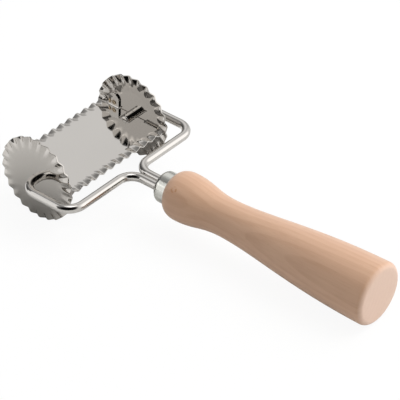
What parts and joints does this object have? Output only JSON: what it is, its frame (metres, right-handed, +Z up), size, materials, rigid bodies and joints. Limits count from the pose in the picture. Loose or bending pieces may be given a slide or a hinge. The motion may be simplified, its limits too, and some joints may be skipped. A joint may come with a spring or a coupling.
{
  "type": "pastry cutter wheel",
  "caption": "Rolling pastry cutter: a crimped roller of two fluted discs and a plate turns in a bent wire fork on a turned wooden handle.",
  "frame": {"origin": "bottom centre of the bounding box, on the surface that the tool rests on", "axes": "+X along the roller's axis to the right, +Y from the handle towards the roller, +Z up"},
  "size_m": [0.1036, 0.2188, 0.049],
  "materials": {
    "roller_steel": "bright polished stainless sheet, crimped at the rim",
    "plate_steel": "bright polished stainless sheet with crimped edges and heat-tinted spot welds",
    "fork_steel": "polished round steel wire",
    "ferrule_metal": "satin nickel-plated steel cap",
    "handle_wood": "smooth turned beech, lightly oiled"
  },
  "bodies": {
    "fork_and_handle": {"left_fork_wire": "fork_steel", "right_fork_wire": "fork_steel", "ferrule": "ferrule_metal", "handle": "handle_wood"},
    "roller": {"left_disc": "roller_steel", "right_disc": "roller_steel", "cutter_plate": "plate_steel"}
  },
  "joints": [
    {"name": "roller_spin", "type": "hinge", "parent": "fork_and_handle", "child": "roller", "pos_m": [0, 0.08495, 0.0245], "axis": [1, 0, 0], "continuous": true}
  ]
}
